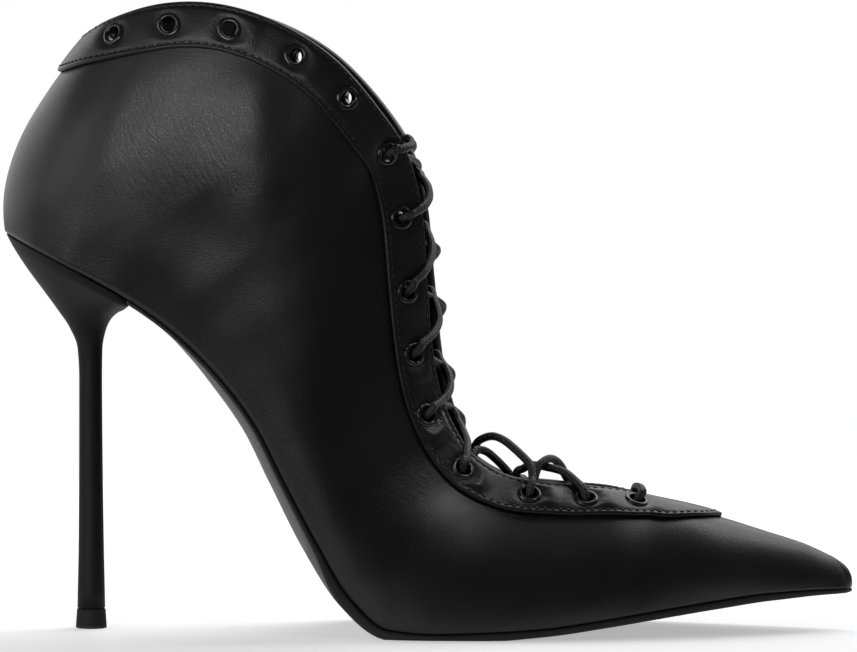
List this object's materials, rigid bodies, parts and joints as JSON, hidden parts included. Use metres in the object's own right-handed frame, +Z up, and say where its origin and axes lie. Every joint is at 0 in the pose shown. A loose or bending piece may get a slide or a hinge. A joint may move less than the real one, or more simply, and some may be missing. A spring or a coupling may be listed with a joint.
{
  "type": "lace-up ankle boot",
  "caption": "Pointed black leather ankle boot with a slim high heel, an open laced throat, and a stitched band with eyelets round throat and collar.",
  "frame": {"origin": "on the floor under the middle of the boot's bounding box", "axes": "+X towards the toe, +Z up, -Y towards the outer side of the right foot"},
  "size_m": [0.2565, 0.0732, 0.1883],
  "materials": {
    "upper_leather": "soft smooth black nappa",
    "band_leather": "smooth black nappa, turned and stitched edges",
    "insole_lining": "matt lining leather",
    "sole_leather": "blackened sole leather, satin waist",
    "heel_cover": "matt covered heel",
    "lift_rubber": "matt",
    "eyelet_enamel": "black enamel",
    "lace_cord": "round waxed cord"
  },
  "bodies": {
    "root": {"upper": "upper_leather", "eyestay_band": "band_leather", "insole": "insole_lining", "outsole": "sole_leather", "heel": "heel_cover", "top_lift": "lift_rubber", "eyelet_out_01": "eyelet_enamel", "eyelet_out_02": "eyelet_enamel", "eyelet_out_03": "eyelet_enamel", "eyelet_out_04": "eyelet_enamel", "eyelet_out_05": "eyelet_enamel", "eyelet_out_06": "eyelet_enamel", "eyelet_out_07": "eyelet_enamel", "eyelet_out_08": "eyelet_enamel", "eyelet_out_09": "eyelet_enamel", "eyelet_out_10": "eyelet_enamel", "eyelet_out_11": "eyelet_enamel", "eyelet_out_12": "eyelet_enamel", "eyelet_out_13": "eyelet_enamel", "eyelet_out_14": "eyelet_enamel", "eyelet_in_01": "eyelet_enamel", "eyelet_in_02": "eyelet_enamel", "eyelet_in_03": "eyelet_enamel", "eyelet_in_04": "eyelet_enamel", "eyelet_in_05": "eyelet_enamel", "eyelet_in_06": "eyelet_enamel", "eyelet_in_07": "eyelet_enamel", "eyelet_in_08": "eyelet_enamel", "eyelet_in_09": "eyelet_enamel", "eyelet_in_10": "eyelet_enamel", "eyelet_in_11": "eyelet_enamel", "eyelet_in_12": "eyelet_enamel", "eyelet_in_13": "eyelet_enamel", "eyelet_in_14": "eyelet_enamel", "lace_bar": "lace_cord", "lace_cross_07": "lace_cord", "lace_cross_08": "lace_cord", "lace_cross_09": "lace_cord", "lace_cross_10": "lace_cord", "lace_cross_11": "lace_cord", "lace_cross_12": "lace_cord", "lace_cross_13": "lace_cord"}
  },
  "joints": []
}
